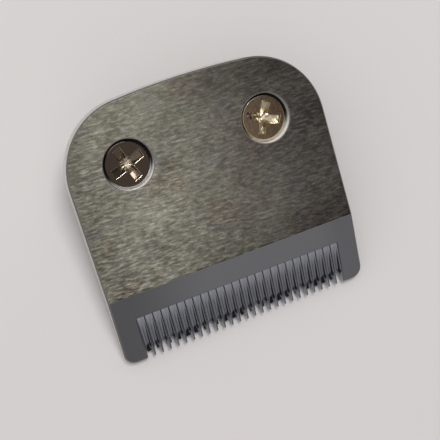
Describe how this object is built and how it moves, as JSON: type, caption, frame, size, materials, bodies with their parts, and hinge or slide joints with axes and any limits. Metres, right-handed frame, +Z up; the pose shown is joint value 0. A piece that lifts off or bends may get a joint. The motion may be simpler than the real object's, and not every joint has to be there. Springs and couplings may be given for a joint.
{
  "type": "hair clipper blade",
  "caption": "Detachable hair clipper blade set: toothed steel plate screwed to a moulded holder, with a sprung sliding cutter behind its teeth.",
  "frame": {"origin": "middle of the set's bounding box, on the surface that the holder's seat lies on", "axes": "+X across the teeth, +Y from the teeth to the rear edge, +Z up from the seat"},
  "size_m": [0.037, 0.035, 0.012],
  "materials": {
    "blade_steel": "face brushed across the teeth, front bevel matt grey",
    "cutter_steel": "dark ground steel",
    "carrier_plastic": "natural low-friction plastic",
    "spring_wire": "drawn spring wire",
    "holder_plastic": "fine moulded texture, black",
    "screw_nickel": "nickel-plated"
  },
  "bodies": {
    "base": {"fixed_blade": "blade_steel", "blade_holder": "holder_plastic", "pressure_spring": "spring_wire", "blade_screws": "screw_nickel"},
    "cutter": {"moving_blade": "cutter_steel", "cutter_carrier": "carrier_plastic"}
  },
  "joints": [
    {"name": "cutter_slide", "type": "slide", "parent": "base", "child": "cutter", "axis": [1, 0, 0], "range_m": [-0.00092, 0.00148]}
  ]
}
